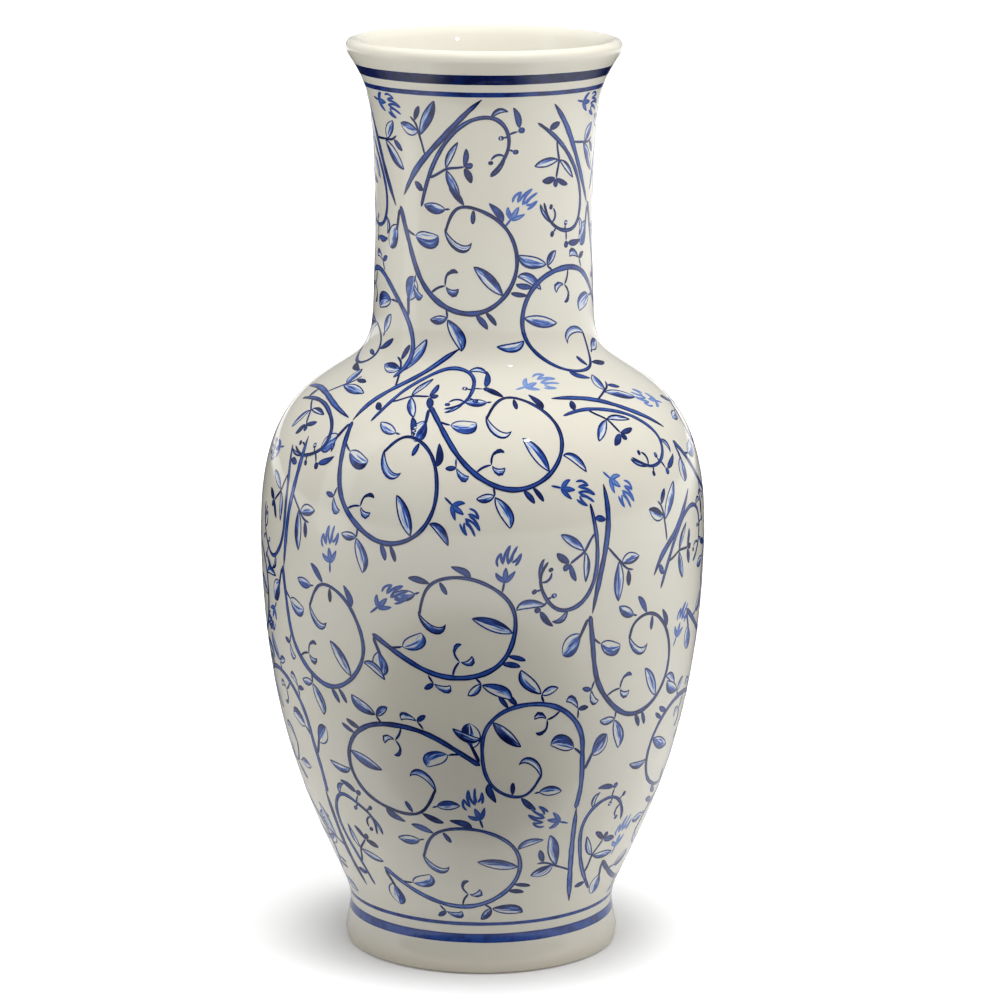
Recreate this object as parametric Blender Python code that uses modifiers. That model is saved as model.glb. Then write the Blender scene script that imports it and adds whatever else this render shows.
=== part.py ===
"""Tall footed vase: a round belly, a narrow neck and a flared mouth, turned as one clay wall.

Metres, +Z up, origin at the centre of the foot's underside. The outer wall is a chain of
curves through a few stations, each a radius and a height that can be set by itself. The inner
wall is the same chain moved in by the wall's thickness, and the two meet over a full-round
lip. Under the foot a recess leaves a flat ring to stand on.
"""

import math

import bpy
import numpy as np

# ---- driving dimensions, in metres --------------------------------------------------------

HEIGHT = 0.400           # foot ring to the top of the lip

WALL = 0.0068            # thickness of the turned wall, and so the lip's width
FLOOR = 0.0080           # thickness of the floor
RECESS = 0.0050          # depth of the hollow under the foot
FLOOR_ROUND = 0.0120     # corner between the floor and the inner wall
FOOT_ROUND = 0.0030      # outer corner of the foot ring
RING_WIDTH = 0.0085      # flat ring that the vase stands on
RING_ROUND = 0.0012      # inner corner of the foot ring
RECESS_ROUND = 0.0020    # corner between the foot ring and the recess

FOOT_RADIUS = 0.06025    # widest part of the foot
WAIST_RADIUS = 0.0583    # where the foot pinches in
WAIST_HEIGHT = 0.0190
BELLY_RADIUS = 0.0971    # widest part of the vase
BELLY_HEIGHT = 0.1867
SHOULDER_RADIUS = 0.0694  # where the shoulder stops bulging and starts to hollow
SHOULDER_HEIGHT = 0.2536
NECK_ROOT_RADIUS = 0.0477
NECK_ROOT_HEIGHT = 0.2860
NECK_RADIUS = 0.0467     # narrowest part of the neck
NECK_HEIGHT = 0.3200
FLARE_RADIUS = 0.0475    # where the neck begins to open
FLARE_HEIGHT = 0.3545
MOUTH_RADIUS = 0.0590    # where the flare turns over into the lip

# Lean of the wall at a station, in degrees from upright, positive where it opens upwards.
SHOULDER_LEAN = -56.0
NECK_ROOT_LEAN = -1.7
FLARE_LEAN = 3.0
MOUTH_LEAN = 33.0

# ---- fineness -------------------------------------------------------------------------------

AROUND = 56              # flats around the axis
CORNER_STEPS = 3         # flats in a small corner
LIP_IN_STEPS = 3         # flats from the lip's inner edge to its top
LIP_OUT_STEPS = 5        # flats from the lip's top to its outer edge
SHORTEST_FLAT = 0.0008   # inner wall flats nearer the floor's corner than this are left out
SMOOTH_ANGLE = math.radians(35)
MERGE = 0.00001

CLAY_GLAZE = (0.80, 0.78, 0.71, 1.0)
GLAZE_ROUGHNESS = 0.12


def lean_direction(degrees):
    """Unit vector, in the plane of the profile, of a wall that climbs at this lean."""
    lean = math.radians(degrees)
    return np.array([math.sin(lean), math.cos(lean)])


def curve(start, start_lean, start_pull, end, end_lean, end_pull, steps):
    """Cubic curve between two stations, with its points and its outward normals.

    A pull is the length of the station's handle as a share of the span.
    """
    start, end = np.array(start), np.array(end)
    span = np.linalg.norm(end - start)
    first = start + lean_direction(start_lean) * span * start_pull
    second = end - lean_direction(end_lean) * span * end_pull
    points, normals = [], []
    for step in range(steps + 1):
        t = step / steps
        s = 1.0 - t
        points.append(s**3 * start + 3 * s * s * t * first + 3 * s * t * t * second + t**3 * end)
        slope = s * s * (first - start) + 2 * s * t * (second - first) + t * t * (end - second)
        slope /= np.linalg.norm(slope)
        normals.append(np.array([slope[1], -slope[0]]))
    return points, normals


def arc(centre, radius, start, end, steps):
    """Points on a circle, from one angle to another, in degrees anticlockwise from +X."""
    angles = [math.radians(start + (end - start) * step / steps) for step in range(steps + 1)]
    return [np.array(centre) + radius * np.array([math.cos(a), math.sin(a)]) for a in angles]


def mouth_height():
    """Height at which the flare meets the lip, so that the lip's top is at HEIGHT."""
    return HEIGHT - WALL / 2 * (1 + math.sin(math.radians(MOUTH_LEAN)))


def wall_line(foot_to_waist, waist_to_belly, belly_to_shoulder, shoulder_to_root,
              root_to_neck, neck_to_flare, flare_to_mouth):
    """Outer wall from the foot's widest ring up to the lip: its points and its normals.

    Each argument is the number of flats in one of the curve's stretches.
    """
    foot = (FOOT_RADIUS, FOOT_ROUND)
    waist = (WAIST_RADIUS, WAIST_HEIGHT)
    belly = (BELLY_RADIUS, BELLY_HEIGHT)
    shoulder = (SHOULDER_RADIUS, SHOULDER_HEIGHT)
    root = (NECK_ROOT_RADIUS, NECK_ROOT_HEIGHT)
    neck = (NECK_RADIUS, NECK_HEIGHT)
    flare = (FLARE_RADIUS, FLARE_HEIGHT)
    mouth = (MOUTH_RADIUS, mouth_height())
    stretches = [
        curve(foot, 0, 0.45, waist, 0, 0.50, foot_to_waist),
        curve(waist, 0, 0.10, belly, 0, 0.64, waist_to_belly),
        curve(belly, 0, 0.57, shoulder, SHOULDER_LEAN, 0.26, belly_to_shoulder),
        curve(shoulder, SHOULDER_LEAN, 0.51, root, NECK_ROOT_LEAN, 0.54, shoulder_to_root),
        curve(root, NECK_ROOT_LEAN, 0.60, neck, 0, 0.31, root_to_neck),
        curve(neck, 0, 0.30, flare, FLARE_LEAN, 0.30, neck_to_flare),
        curve(flare, FLARE_LEAN, 0.54, mouth, MOUTH_LEAN, 0.36, flare_to_mouth),
    ]
    points, normals = [], []
    for stretch_points, stretch_normals in stretches:
        repeat = 1 if points else 0
        points += stretch_points[repeat:]
        normals += stretch_normals[repeat:]
    return points, normals


def inner_wall():
    """Inner wall from the lip down to the floor's corner, WALL inside the outer wall."""
    points, normals = wall_line(1, 9, 6, 5, 2, 2, 5)
    moved = [point - WALL * normal for point, normal in zip(points, normals)]
    corner_height = RECESS + FLOOR + FLOOR_ROUND
    kept = [point for point in moved if point[1] > corner_height + SHORTEST_FLAT]
    radii = [point[0] for point in moved]
    heights = [point[1] for point in moved]
    corner = np.array([np.interp(corner_height, heights, radii), corner_height])
    return [corner] + kept


def lip():
    """Full-round lip over the wall's top, from its inner edge to its outer edge."""
    edge = np.array([MOUTH_RADIUS, mouth_height()])
    centre = edge - WALL / 2 * np.array([math.cos(math.radians(MOUTH_LEAN)),
                                         -math.sin(math.radians(MOUTH_LEAN))])
    return (arc(centre, WALL / 2, 180 - MOUTH_LEAN, 90, LIP_IN_STEPS)
            + arc(centre, WALL / 2, 90, -MOUTH_LEAN, LIP_OUT_STEPS)[1:])


def profile():
    """Closed section from the floor's centre, up the inside, over the lip and down the outside."""
    floor_top = RECESS + FLOOR
    inside = inner_wall()
    floor_corner = arc((inside[0][0] - FLOOR_ROUND, floor_top + FLOOR_ROUND), FLOOR_ROUND,
                       -90, 0, CORNER_STEPS)
    outside = wall_line(4, 12, 9, 7, 2, 2, 7)[0]
    ring_outer = FOOT_RADIUS - FOOT_ROUND
    ring_inner = ring_outer - RING_WIDTH
    foot_corner = arc((ring_outer, FOOT_ROUND), FOOT_ROUND, 0, -90, CORNER_STEPS)
    ring_corner = arc((ring_inner, RING_ROUND), RING_ROUND, -90, -180, CORNER_STEPS)
    recess_edge = ring_inner - RING_ROUND
    recess_corner = arc((recess_edge - RECESS_ROUND, RECESS - RECESS_ROUND), RECESS_ROUND,
                        0, 90, CORNER_STEPS)
    return ([np.array([0.0, floor_top])] + floor_corner + inside[1:] + lip()[1:]
            + outside[-2::-1] + foot_corner[1:] + ring_corner + recess_corner
            + [np.array([0.0, RECESS])])


def glaze_material():
    """Milky tin glaze over fired clay."""
    material = bpy.data.materials.new("milky_glaze")
    material.use_nodes = True
    shader = material.node_tree.nodes["Principled BSDF"]
    shader.inputs["Base Color"].default_value = CLAY_GLAZE
    shader.inputs["Roughness"].default_value = GLAZE_ROUGHNESS
    shader.inputs["Metallic"].default_value = 0.0
    material.diffuse_color = CLAY_GLAZE
    return material


def turned(name, outline, material, collection):
    """Object turned about Z from a section drawn at +X, as a clay body is on a wheel."""
    mesh = bpy.data.meshes.new(name)
    vertices = [(point[0], 0.0, point[1]) for point in outline]
    edges = [(i, i + 1) for i in range(len(vertices) - 1)]
    mesh.from_pydata(vertices, edges, [])
    mesh.materials.append(material)
    piece = bpy.data.objects.new(name, mesh)
    collection.objects.link(piece)
    screw = piece.modifiers.new("turning", "SCREW")
    screw.axis = "Z"
    screw.steps = AROUND
    screw.render_steps = AROUND
    screw.use_merge_vertices = True
    screw.merge_threshold = MERGE
    screw.use_smooth_shade = True
    return piece


def smooth(piece):
    """Turn the modifier's result into the object's own mesh, shaded smooth up to an angle."""
    depsgraph = bpy.context.evaluated_depsgraph_get()
    mesh = bpy.data.meshes.new_from_object(piece.evaluated_get(depsgraph))
    piece.modifiers.clear()
    piece.data = mesh
    mesh.shade_smooth()
    mesh.set_sharp_from_angle(angle=SMOOTH_ANGLE)


def main():
    for old in list(bpy.data.objects):
        bpy.data.objects.remove(old, do_unlink=True)
    vase = bpy.data.collections.new("footed_vase")
    bpy.context.scene.collection.children.link(vase)
    body = turned("vase_body", profile(), glaze_material(), vase)
    bpy.context.view_layer.update()
    smooth(body)


main()
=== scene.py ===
"""Hand-painted footed vase: glaze, cobalt brushwork and studio, around the packed clay body.

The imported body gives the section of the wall. All the painting is a thin deposit of cobalt that
follows that wall: each brush stroke is drawn flat in millimetres, laid on the curved wall
without stretching it, and given a little thickness.
"""

import math
import random

import bpy
import numpy as np
from mathutils import Matrix, Vector


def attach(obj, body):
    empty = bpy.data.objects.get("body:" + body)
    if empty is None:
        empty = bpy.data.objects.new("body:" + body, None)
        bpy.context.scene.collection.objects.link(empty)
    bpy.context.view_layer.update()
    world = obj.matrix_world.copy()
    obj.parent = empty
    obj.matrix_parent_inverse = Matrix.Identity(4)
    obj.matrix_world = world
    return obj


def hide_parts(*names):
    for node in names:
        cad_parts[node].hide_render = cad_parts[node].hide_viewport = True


bl_info = {
    "name": "Hand-painted Footed Vase",
    "version": (1, 0, 0),
    "blender": (4, 5, 0),
    "location": "3D View > Sidebar > Vase",
    "description": "Glazed and painted finish for a turned vase body",
    "category": "Object",
}

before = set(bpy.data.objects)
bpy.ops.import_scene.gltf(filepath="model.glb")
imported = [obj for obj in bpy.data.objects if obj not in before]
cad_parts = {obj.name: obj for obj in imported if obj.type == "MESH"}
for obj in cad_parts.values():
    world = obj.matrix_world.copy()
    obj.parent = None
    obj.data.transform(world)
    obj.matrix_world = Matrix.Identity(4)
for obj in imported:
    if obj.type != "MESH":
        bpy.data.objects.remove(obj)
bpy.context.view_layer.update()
BODY = "vase_body"
MM = 0.001


# ---- sizes and colours that a user would change ----------------------------------------------

class GlazeSettings(bpy.types.PropertyGroup):
    white: bpy.props.StringProperty(
        name="Glaze white", description="Milky tin glaze where it lies thick", default="#D3D0C4")
    thin: bpy.props.StringProperty(
        name="Thin glaze", description="Glaze that lets the warm clay through", default="#C8C1AE")
    clay: bpy.props.StringProperty(
        name="Bare clay", description="Fired clay on the foot ring", default="#8F6B4B")
    roughness: bpy.props.FloatProperty(
        name="Roughness", description="Gloss of the glaze", default=0.05, min=0.0, max=1.0)
    ripple: bpy.props.FloatProperty(
        name="Throwing ripple", description="Depth of the ridges left by the potter's fingers",
        default=0.00005, unit="LENGTH", precision=6)
    around: bpy.props.IntProperty(
        name="Faces around", description="How finely the body is turned", default=216, min=32)


class PaintSettings(bpy.types.PropertyGroup):
    deep: bpy.props.StringProperty(
        name="Deep cobalt", description="Where the paint pools", default="#0B143C")
    dark: bpy.props.StringProperty(
        name="Dark cobalt", description="A full brush", default="#172862")
    middle: bpy.props.StringProperty(
        name="Cobalt wash", description="An even wash", default="#2A4E9E")
    pale: bpy.props.StringProperty(
        name="Pale wash", description="Watery paint", default="#7B97C8")
    height: bpy.props.FloatProperty(
        name="Height", description="How far the paint stands on the wall", default=0.00004,
        unit="LENGTH", precision=6)


class StageSettings(bpy.types.PropertyGroup):
    distance: bpy.props.FloatProperty(
        name="Camera distance", description="From the vase's axis", default=1.774, unit="LENGTH")
    height: bpy.props.FloatProperty(
        name="Camera height", description="Above the floor", default=0.579, unit="LENGTH")
    aim: bpy.props.FloatVectorProperty(
        name="Aim", description="Point at the middle of the view", default=(0.0076, 0.0, 0.1978),
        subtype="TRANSLATION", unit="LENGTH")
    lens: bpy.props.FloatProperty(
        name="Lens", description="Focal length in millimetres on a 36 mm sensor", default=149.2)
    roll: bpy.props.FloatProperty(
        name="Roll", description="Tilt of the horizon", default=math.radians(0.25),
        subtype="ANGLE")
    floor: bpy.props.StringProperty(
        name="Floor", description="Pale paper sweep", default="#E2E2E2")


# ---- small tools -------------------------------------------------------------------------------

def colour(hex_code):
    """Linear RGBA from an sRGB hex code."""
    parts = [int(hex_code[i:i + 2], 16) / 255 for i in (1, 3, 5)]
    return (*[p / 12.92 if p <= 0.04045 else ((p + 0.055) / 1.055) ** 2.4 for p in parts], 1.0)


def add_node(tree, kind, inputs=None, **settings):
    """Adds a node with its settings; an input gets a number, a colour, an output or a node."""
    node = tree.nodes.new(kind)
    for name, value in settings.items():
        setattr(node, name, value)
    for place, value in (inputs or {}).items():
        if isinstance(value, bpy.types.Node):
            value = value.outputs[0]
        if isinstance(value, bpy.types.NodeSocket):
            tree.links.new(value, node.inputs[place])
        else:
            node.inputs[place].default_value = value
    return node


def new_material(name, **shader_values):
    """A Principled material, with the values that are the same all over it."""
    material = bpy.data.materials.new(name)
    material.use_nodes = True
    shader = material.node_tree.nodes["Principled BSDF"]
    for socket, value in shader_values.items():
        shader.inputs[socket.replace("_", " ")].default_value = value
    return material, material.node_tree, shader


def new_piece(name, vertices, faces, material, slot, sharp_degrees=40):
    """A smooth-shaded mesh in metres that rides on the vase."""
    mesh = bpy.data.meshes.new(name)
    mesh.from_pydata([tuple(v) for v in vertices], [], [tuple(f) for f in faces])
    mesh.materials.append(material)
    mesh.shade_smooth()
    mesh.set_sharp_from_angle(angle=math.radians(sharp_degrees))
    piece = bpy.data.objects.new(name, mesh)
    bpy.context.scene.collection.objects.link(piece)
    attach(piece, "root")
    return piece


def add_layer(piece, title, values):
    """Stores three numbers at every point of a piece, for its material to read."""
    layer = piece.data.attributes.new(title, "FLOAT_VECTOR", "POINT")
    layer.data.foreach_set("vector", np.asarray(values, np.float32).ravel())


def shell_faces(rows, columns, start=0, closed=False):
    """Faces of a thin closed shell: a grid of points, the same grid under it, and the rim."""
    size = rows * (columns + 1)

    def row(i):
        top = [start + i % rows * (columns + 1) + j for j in range(columns + 1)]
        return top, [corner + size for corner in top]
    faces = []
    for i in range(rows if closed else rows - 1):
        (top, under), (next_top, next_under) = row(i), row(i + 1)
        for j in range(columns):
            faces.append((top[j], top[j + 1], next_top[j + 1], next_top[j]))
            faces.append((under[j], next_under[j], next_under[j + 1], under[j + 1]))
        faces.append((top[0], next_top[0], next_under[0], under[0]))
        faces.append((top[-1], under[-1], next_under[-1], next_top[-1]))
    if not closed:
        (first, first_under), (last, last_under) = row(0), row(rows - 1)
        for j in range(columns):
            faces.append((first[j], first_under[j], first_under[j + 1], first[j + 1]))
            faces.append((last[j], last[j + 1], last_under[j + 1], last_under[j]))
    return faces


def cubic_spline(stations, values, at):
    """Natural cubic spline through values (one row for each station), read at some places."""
    gaps = np.diff(stations)
    slopes = np.diff(values, axis=0) / gaps[:, None]
    count = len(stations)
    matrix = np.eye(count)
    right = np.zeros_like(values)
    for i in range(1, count - 1):
        matrix[i, i - 1:i + 2] = gaps[i - 1], 2 * (gaps[i - 1] + gaps[i]), gaps[i]
        right[i] = 6 * (slopes[i] - slopes[i - 1])
    bends = np.linalg.solve(matrix, right)
    cell = np.clip(np.searchsorted(stations, at, side="right") - 1, 0, count - 2)
    step = gaps[cell][:, None]
    a = (stations[cell + 1] - at)[:, None] / step
    b = 1 - a
    return (a * values[cell] + b * values[cell + 1]
            + ((a**3 - a) * bends[cell] + (b**3 - b) * bends[cell + 1]) * step**2 / 6)


def distances(points):
    """Distance of each point along a line from its start."""
    return np.concatenate([[0], np.cumsum(np.linalg.norm(np.diff(points, axis=0), axis=1))])


def smooth_line(points, spacing):
    """Evenly spaced points on a smooth curve through the given ones."""
    points = np.asarray(points, float)
    stations = distances(points)
    count = max(int(round(stations[-1] / spacing)), 4)
    return cubic_spline(stations, points, np.linspace(0, stations[-1], count + 1))


def bezier(ends_and_handles, at):
    """Points on a cubic curve given as start, two handles and end."""
    a, b, c, d = np.asarray(ends_and_handles, float)
    t = np.asarray(at)[:, None]
    return a * (1 - t)**3 + 3 * b * t * (1 - t)**2 + 3 * c * t**2 * (1 - t) + d * t**3


def soft_step(low, high, value):
    """0 below low, 1 above high, and a smooth rise between."""
    t = np.clip((value - low) / (high - low), 0, 1)
    return t * t * (3 - 2 * t)


# ---- the wall, as packed -----------------------------------------------------------------------

FLOOR_MIDDLE = 9.0  # mm, inside the thickness of the floor
GLAZE_EDGE = 0.9    # mm above the surface that the vase stands on, where the glaze stops
RING_INSET = 0.12   # mm that the bare ring lies back from the glaze


class Wall:
    """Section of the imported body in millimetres: outer wall, inner wall and foot."""

    def __init__(self, node):
        places = np.array([v.co for v in node.data.vertices]) / MM
        lean = np.array([v.normal[0] for v in node.data.vertices])
        section = {}
        for (x, y, z), out in zip(places, lean):
            if abs(y) < 0.01 and x > -0.01:
                key = (round(float(x), 2), round(float(z), 2))
                section[key] = section.get(key, 0.0) + out
        self.top = max(z for _, z in section)
        outer = sorted((z, r) for (r, z), out in section.items() if out > 0.02 or z == self.top)
        inner = sorted((z, r) for (r, z), out in section.items()
                       if (out < 0.02 or z == self.top) and z > FLOOR_MIDDLE)
        below = sorted((r, z) for (r, z), out in section.items()
                       if out < 0.02 and z < FLOOR_MIDDLE)
        self.outer = [(r, z) for z, r in outer]
        self.inner = [(r, z) for z, r in inner]
        self.below = below
        line = smooth_line(self.outer, 0.25)
        self.along = distances(line)
        self.radius, self.height = line[:, 0], line[:, 1]
        self.slope = np.gradient(self.radius, self.along)

    def up_to(self, height):
        """Distance along the outer wall from the foot to a height below the lip."""
        rising = self.height < self.top - 2
        return float(np.interp(height, self.height[rising], self.along[rising]))

    def place(self, distance, angle, lift):
        """Points in metres, lift mm off the outer wall; the angle is from the front, rightwards."""
        radius = np.interp(distance, self.along, self.radius)
        height = np.interp(distance, self.along, self.height)
        slope = np.clip(np.interp(distance, self.along, self.slope), -1, 1)
        rise = np.sqrt(1 - slope**2)
        reach = radius + uneven(angle, height) + lift * rise
        return np.stack([reach * np.sin(angle), -reach * np.cos(angle),
                         height - lift * slope], axis=-1) * MM

    def lay(self, points, anchor_angle, anchor_height, steps=32):
        """Lays flat points (mm right and up of an anchor) on the wall along straight paths."""
        length = np.hypot(points[:, 0], points[:, 1])
        heading = np.arctan2(points[:, 0], points[:, 1])
        distance = np.full(len(points), self.up_to(anchor_height))
        angle = np.full(len(points), math.radians(anchor_angle))
        stride = length / steps
        for _ in range(steps):
            radius = np.interp(distance, self.along, self.radius)
            slope = np.interp(distance, self.along, self.slope)
            middle = distance + stride / 2 * np.cos(heading)
            turned = heading - stride / 2 * slope * np.sin(heading) / radius
            radius = np.interp(middle, self.along, self.radius)
            slope = np.interp(middle, self.along, self.slope)
            distance = distance + stride * np.cos(turned)
            angle = angle + stride * np.sin(turned) / radius
            heading = heading - stride * slope * np.sin(turned) / radius
        return distance, angle


def uneven(angle, height):
    """Millimetres by which a wall thrown by hand is out of round."""
    return (0.10 * np.sin(2 * angle + 0.9 + height / 140) + 0.06 * np.sin(3 * angle - 0.6
            + height / 60)) * soft_step(3, 30, height)


WALL = Wall(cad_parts[BODY])


# ---- body --------------------------------------------------------------------------------------

def turned(name, profile, around, material, slot):
    """A closed body of revolution from (radius, height) points; it may start and end on the axis."""
    profile = np.asarray(profile, float)
    angles = np.linspace(0, 2 * math.pi, around, endpoint=False)
    vertices, rows = [], []
    for radius, height in profile:
        if radius < 0.01:
            rows.append([len(vertices)] * around)
            vertices.append((0.0, 0.0, height * MM))
            continue
        rows.append(range(len(vertices), len(vertices) + around))
        reach = radius + uneven(angles, height)
        vertices += list(np.stack([reach * np.sin(angles), -reach * np.cos(angles),
                                   np.full(around, height)], axis=-1) * MM)
    pairs = list(zip(rows[:-1], rows[1:]))
    if profile[0, 0] >= 0.01:
        pairs.append((rows[-1], rows[0]))
    faces = []
    for low, high in pairs:
        for i in range(around):
            j = (i + 1) % around
            corner = [low[i], low[j], high[j], high[i]]
            faces.append(list(dict.fromkeys(corner)))
    return new_piece(name, vertices, faces, material, slot)


def glazed_profile():
    """Outer wall from the glaze's edge over the lip, down inside to the floor, and the recess."""
    outer = smooth_line(WALL.outer, 1.8)
    outer = outer[outer[:, 1] > GLAZE_EDGE]
    inner = smooth_line(WALL.inner, 3.0)[::-1]
    recess = np.array([point for point in WALL.below if point[1] > GLAZE_EDGE])
    hidden = [(recess[-1, 0], GLAZE_EDGE), (outer[0, 0] - 0.3, GLAZE_EDGE)]
    return ([(0.0, recess[0, 1])] + [tuple(p) for p in recess] + hidden
            + [tuple(p) for p in outer] + [tuple(p) for p in inner[1:]]
            + [(0.0, WALL.inner[0][1])])


def bare_profile():
    """The foot ring under the glaze, as a closed loop."""
    under = [(r - RING_INSET, z) for r, z in WALL.outer if z <= GLAZE_EDGE]
    inside = [(r + RING_INSET, z) for r, z in WALL.below if z <= GLAZE_EDGE]
    tucked = GLAZE_EDGE + 0.6
    return (sorted(inside) + under
            + [(under[-1][0] + 0.3, tucked), (min(inside)[0], tucked)])


# ---- brush strokes -----------------------------------------------------------------------------

SUNK = 0.05         # mm that a stroke reaches into the wall
LEVEL_STEP = 0.008  # mm between strokes that cross
FEATHER = 0.14      # mm of soft edge beyond the drawn width
UNDERSIDE = -1.0    # marks the points of a stroke that are inside the wall
ROW_STEP = 0.9      # mm between the rows of points along a stroke
LEAF_STEP = 0.8     # mm between those along a leaf


class Painting:
    """Strokes that make one piece: flat points in mm, until they are laid on the wall."""

    def __init__(self, seed):
        self.flat, self.reach, self.tone, self.lift, self.faces = [], [], [], [], []
        self.count = 0
        self.random = random.Random(seed)
        self.base_lift = random.Random(seed + 1).uniform(0, LEVEL_STEP)

    def ribbon(self, one_edge, other_edge, columns, level, tone):
        """A closed strip between two edges. tone is (edge, wash, spread of the wash)."""
        share = np.linspace(0, 1, columns + 1)
        rows = len(one_edge)
        size = rows * (columns + 1)
        across = other_edge - one_edge
        grid = one_edge[:, None] + across[:, None] * share[None, :, None]
        width = np.linalg.norm(across, axis=1)[:, None]
        middle = (one_edge + other_edge) / 2
        along = distances(middle)
        way = np.repeat((along / along[-1])[:, None], columns + 1, axis=1)
        reach = np.stack([width * share, width * (1 - share), way], axis=-1)
        lift = self.base_lift + level * LEVEL_STEP
        self.flat.append(np.tile(grid.reshape(-1, 2), (2, 1)))
        self.reach.append(np.tile(reach.reshape(-1, 3), (2, 1)))
        self.tone.append(np.tile(np.asarray(tone, float), (2 * size, 1)))
        self.lift.append(np.concatenate([np.full(size, lift), np.full(size, UNDERSIDE)]))
        steps, sides = np.diff(middle, axis=0), across[:-1]
        faces = shell_faces(rows, columns, self.count)
        if (steps[:, 0] * sides[:, 1] - steps[:, 1] * sides[:, 0]).sum() > 0:
            faces = [face[::-1] for face in faces]
        self.faces += faces
        self.count += 2 * size

    def stroke(self, points, width, tone, level, taper=(1.5, 1.5)):
        """A brush stroke. width is one number, or (share of the way, width) pairs."""
        middle = smooth_line(points, ROW_STEP)
        along = distances(middle)
        total = along[-1]
        if np.ndim(width):
            places, widths = zip(*width)
            width = np.interp(along / total, places, widths)
        start, end = (min(t, total * 0.45) for t in taper)
        ends = (np.sqrt(np.clip(along / start, 0.02, 1)) if start else 1) * (
            np.sqrt(np.clip((total - along) / end, 0.02, 1)) if end else 1)
        phase = self.random.uniform(0, 6)
        pulse = 1 + 0.07 * np.sin(along / 2.9 + phase) + 0.05 * np.sin(along / 1.3 + 2 * phase)
        half = (width * ends * pulse / 2 + FEATHER / 2)[:, None]
        heading = np.gradient(middle, axis=0)
        heading /= np.linalg.norm(heading, axis=1)[:, None]
        across = np.stack([-heading[:, 1], heading[:, 0]], axis=1)
        self.ribbon(middle + across * half, middle - across * half, 2, level, tone)

    def leaf(self, base, thin, tip, thick, tone, level, outline=0.62):
        """A leaf between two curved edges that share their ends."""
        size = math.dist(base, tip)
        rows = max(int(size / LEAF_STEP), 6)
        at = (1 - np.cos(np.linspace(0, math.pi, rows))) / 2
        one = bezier([base, *thin, tip], at)
        other = bezier([base, *thick, tip], at)
        gap = other - one
        width = np.linalg.norm(gap, axis=1)
        belly = gap[np.argmax(width)]
        gap = np.where(width[:, None] > 0.05, gap / np.maximum(width, 0.05)[:, None],
                       belly / np.linalg.norm(belly))
        ends = np.sqrt(np.clip(np.minimum(at, 1 - at) / 0.06, 0.12, 1))[:, None]
        push = gap * outline / 2 * ends
        columns = 2 if width.max() < 1.6 else 4 if width.max() < 4 else 7
        self.ribbon(one - push, other + push, columns, level, tone)

    def piece(self, name, material, anchor):
        """Lays all the strokes on the wall as one object."""
        flat = np.concatenate(self.flat)
        lift = np.concatenate(self.lift)
        height = bpy.context.scene.vase_paint.height / MM
        distance, angle = WALL.lay(flat, *anchor)
        lift = np.where(lift == UNDERSIDE, -SUNK, height + lift)
        piece = new_piece(name, WALL.place(distance, angle, lift), self.faces, material,
                          "cobalt_brushwork", sharp_degrees=50)
        add_layer(piece, "reach", np.concatenate(self.reach))
        add_layer(piece, "tone", np.concatenate(self.tone))
        return piece


# ---- how the vine is drawn ---------------------------------------------------------------------
# Flat drawings in millimetres, x to the right and y up. A twig grows from one place on the stem
# and has fine strokes (width, points) and leaves (base, thin edge, tip, full edge, kind).

STEM = (1.0, 0.62, 1.0)
FINE = (0.95, 0.85, 1.0)
SOLID = (0.98, 0.8, 1.0)
WASHED = (0.98, 0.80, 0.50)

RING_STEM = [(-30, 23.5), (-24.5, 6.5), (-14.5, -10.5), (3, -19), (19.5, -11), (24.5, 4),
             (15.5, 20), (2, 25), (-7, 13)]

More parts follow.
